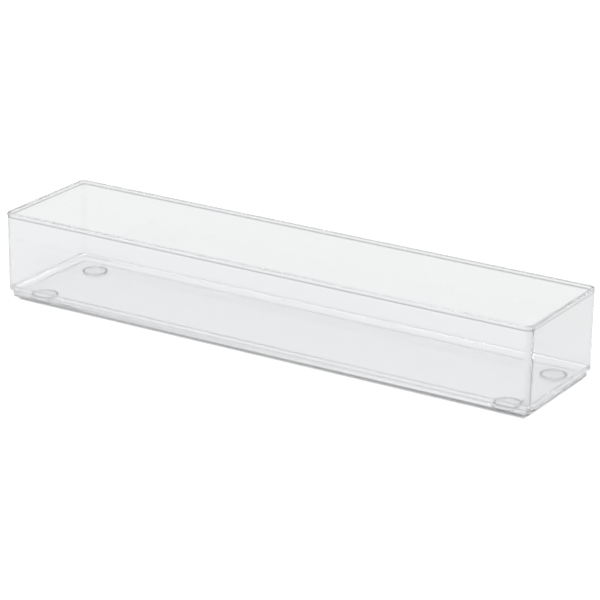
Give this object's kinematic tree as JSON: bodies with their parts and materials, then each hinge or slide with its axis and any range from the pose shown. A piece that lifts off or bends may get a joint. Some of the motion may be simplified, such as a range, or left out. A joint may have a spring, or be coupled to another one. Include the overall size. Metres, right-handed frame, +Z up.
{
  "type": "drawer organizer bin",
  "caption": "Long, shallow, clear plastic organizer bin with an open top, a banded rim, a stepped stacking base and soft round foot pads.",
  "frame": {"origin": "middle of the bounding box at the plane that the foot pads stand on", "axes": "+X along the bin's length, +Y across it towards the rear long wall, +Z up out of the open mouth"},
  "size_m": [0.3406, 0.0766, 0.053],
  "materials": {
    "clear_plastic": "polished clear moulding",
    "pad_clear_soft": "clear soft vinyl, satin"
  },
  "bodies": {
    "root": {"tray": "clear_plastic", "foot_pad_front_left": "pad_clear_soft", "foot_pad_front_right": "pad_clear_soft", "foot_pad_rear_left": "pad_clear_soft", "foot_pad_rear_right": "pad_clear_soft"}
  },
  "joints": []
}
